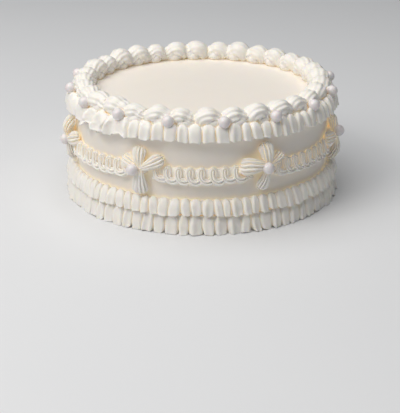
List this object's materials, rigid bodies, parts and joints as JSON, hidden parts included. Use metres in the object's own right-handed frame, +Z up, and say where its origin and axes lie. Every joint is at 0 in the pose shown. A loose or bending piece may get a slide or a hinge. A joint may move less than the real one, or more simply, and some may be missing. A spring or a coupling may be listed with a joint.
{
  "type": "piped buttercream cake",
  "caption": "Round cake in a smooth pale buttercream coat, with pleated borders at foot and rim, a swirl crown, a looped rope garland, fluted shell motifs and sugar pearls.",
  "frame": {"origin": "centre of the cake's flat underside, on its axis", "axes": "+Z up along the cake's axis, -Y towards the side that the picture shows, +X to its right"},
  "size_m": [0.259, 0.2621, 0.111],
  "materials": {
    "coat": "smooth buttercream coat, satin, ivory",
    "buttercream": "piped buttercream, soft satin, cream white with warm light in its folds",
    "sugar_pearl": "sugar pearl, soft pearly gloss, cool white"
  },
  "bodies": {
    "root": {"cake_body": "coat", "base_row_lower": "buttercream", "base_row_upper": "buttercream", "edge_ruffle": "buttercream", "crown_border": "buttercream", "rope_1": "buttercream", "rope_2": "buttercream", "rope_3": "buttercream", "rope_4": "buttercream", "rope_5": "buttercream", "rope_6": "buttercream", "rope_7": "buttercream", "motif_1": "buttercream", "motif_2": "buttercream", "motif_3": "buttercream", "motif_4": "buttercream", "motif_5": "buttercream", "motif_6": "buttercream", "motif_7": "buttercream", "crown_pearl_01": "sugar_pearl", "crown_pearl_02": "sugar_pearl", "crown_pearl_03": "sugar_pearl", "crown_pearl_04": "sugar_pearl", "crown_pearl_05": "sugar_pearl", "crown_pearl_06": "sugar_pearl", "crown_pearl_07": "sugar_pearl", "crown_pearl_08": "sugar_pearl", "crown_pearl_09": "sugar_pearl", "crown_pearl_10": "sugar_pearl", "crown_pearl_11": "sugar_pearl", "crown_pearl_12": "sugar_pearl", "crown_pearl_13": "sugar_pearl", "crown_pearl_14": "sugar_pearl", "crown_pearl_15": "sugar_pearl", "crown_pearl_16": "sugar_pearl", "motif_pearl_1": "sugar_pearl", "motif_pearl_2": "sugar_pearl", "motif_pearl_3": "sugar_pearl", "motif_pearl_4": "sugar_pearl", "motif_pearl_5": "sugar_pearl", "motif_pearl_6": "sugar_pearl", "motif_pearl_7": "sugar_pearl"}
  },
  "joints": []
}
